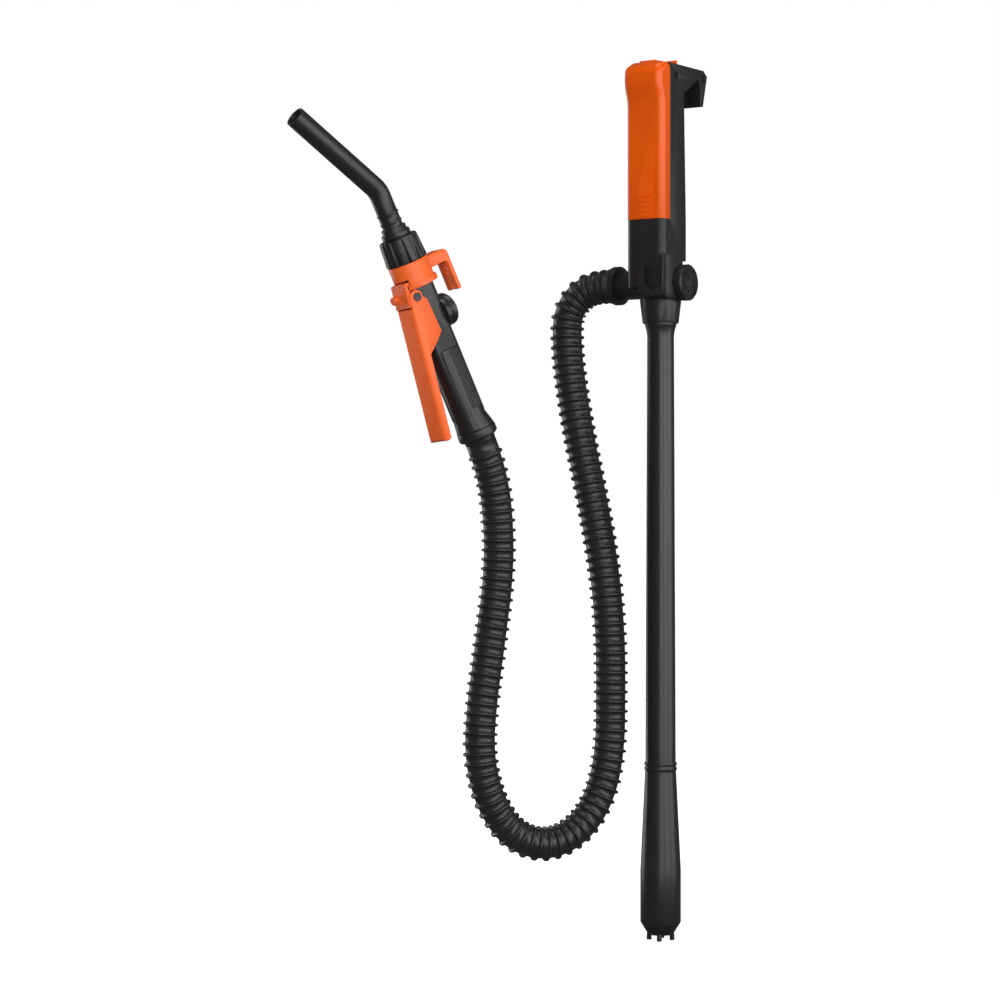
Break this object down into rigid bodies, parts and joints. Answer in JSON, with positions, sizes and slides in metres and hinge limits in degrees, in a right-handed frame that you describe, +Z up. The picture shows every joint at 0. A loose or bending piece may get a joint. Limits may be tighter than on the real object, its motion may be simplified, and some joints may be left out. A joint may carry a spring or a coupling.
{
  "type": "electric fuel transfer pump",
  "caption": "Battery-powered transfer pump: slim head, long suction tube with a submerged motor foot, ribbed hose and an automatic nozzle with a trigger lever.",
  "frame": {"origin": "on the suction tube's axis, at the lower face of the tapered tank collar", "axes": "+Z up along the suction tube; -Y is the front of the head, +X the side of the power knob, -X the side of the hose outlet"},
  "size_m": [0.2531, 0.3852, 0.8803],
  "materials": {
    "black_plastic": "fine satin texture",
    "orange_plastic": "smooth satin gloss",
    "hose_plastic": "ribbed, satin",
    "orange_lever": "smooth satin gloss",
    "steel": "bright",
    "blackened_steel": "black oxide",
    "rubber_black": "matt",
    "cell_jacket": "gloss shrink sleeve",
    "nickel": "nickel plate",
    "brass": "machined",
    "motor_can": "zinc plated",
    "acetal": "moulded",
    "board_green": "solder mask",
    "wire_sleeve": "extruded"
  },
  "bodies": {
    "pump": {"tank_collar": "black_plastic", "suction_tube": "black_plastic", "pump_barrel": "black_plastic", "inlet_foot": "black_plastic", "inlet_screen": "steel", "motor_capsule": "black_plastic", "motor": "motor_can", "shaft_seal": "rubber_black", "wiring": "wire_sleeve", "housing_right": "black_plastic", "housing_left": "black_plastic", "housing_screws": "blackened_steel", "nozzle_cradle": "black_plastic", "outlet_manifold": "black_plastic", "rotary_switch": "acetal", "control_board": "board_green", "battery_cells": "cell_jacket", "contact_spring": "nickel", "lower_contact": "nickel", "upper_contact": "nickel", "hose": "hose_plastic", "hose_cuff": "black_plastic", "nozzle_swivel": "black_plastic", "nozzle_body": "black_plastic", "valve_seat": "brass", "stem_seal": "rubber_black", "valve_plug": "brass", "valve_spring": "steel", "diaphragm": "rubber_black", "diaphragm_cap": "black_plastic", "lever_pin": "blackened_steel", "latch_pin": "steel", "hook_collar": "orange_lever", "spout_gasket": "rubber_black"},
    "cover": {"battery_cover": "orange_plastic"},
    "knob": {"power_knob": "black_plastic", "knob_shaft": "acetal"},
    "rotor": {"motor_shaft": "steel", "impeller": "acetal"},
    "lever": {"trigger_lever": "orange_lever"},
    "valve": {"valve_poppet": "brass"},
    "latch": {"latch": "orange_lever"},
    "nut": {"union_nut": "black_plastic"},
    "spout": {"spout": "black_plastic"}
  },
  "joints": [
    {"name": "cover_slide", "type": "slide", "parent": "pump", "child": "cover", "axis": [0, 0, 1], "range_m": [0, 0.16]},
    {"name": "knob_turn", "type": "hinge", "parent": "pump", "child": "knob", "pos_m": [0.0255, 0, 0.0396], "axis": [1, 0, 0], "range_deg": [0, 90]},
    {"name": "rotor_spin", "type": "hinge", "parent": "pump", "child": "rotor", "pos_m": [0, 0, -0.5935], "axis": [0, 0, 1], "continuous": true},
    {"name": "lever_pull", "type": "hinge", "parent": "pump", "child": "lever", "pos_m": [-0.16005, -0.2085, 0.01852], "axis": [0.947, -0.3142, 0.067], "range_deg": [0, 10], "stiffness_Nm_per_rad": 1.5, "springref_deg": -8.59},
    {"name": "valve_lift", "type": "slide", "parent": "pump", "child": "valve", "axis": [0.2588, 0.8696, 0.4206], "range_m": [0, 0.0047], "deforming": ["valve_spring"]},
    {"name": "latch_tilt", "type": "hinge", "parent": "pump", "child": "latch", "pos_m": [-0.16296, -0.21554, 0.02654], "axis": [-0.947, 0.3142, -0.067], "range_deg": [0, 10], "stiffness_Nm_per_rad": 0.1, "springref_deg": -5.73},
    {"name": "nut_turn", "type": "hinge", "parent": "pump", "child": "nut", "pos_m": [-0.16467, -0.21233, 0.06567], "axis": [-0.1905, -0.381, 0.9048], "range_deg": [0, 360]},
    {"name": "spout_swivel", "type": "hinge", "parent": "pump", "child": "spout", "pos_m": [-0.1679, -0.21881, 0.08105], "axis": [-0.1905, -0.381, 0.9048], "range_deg": [-180, 180]}
  ],
  "couplings": [
    {"joint": "valve_lift", "follows": "lever_pull", "m_per_rad": 0.0265}
  ]
}
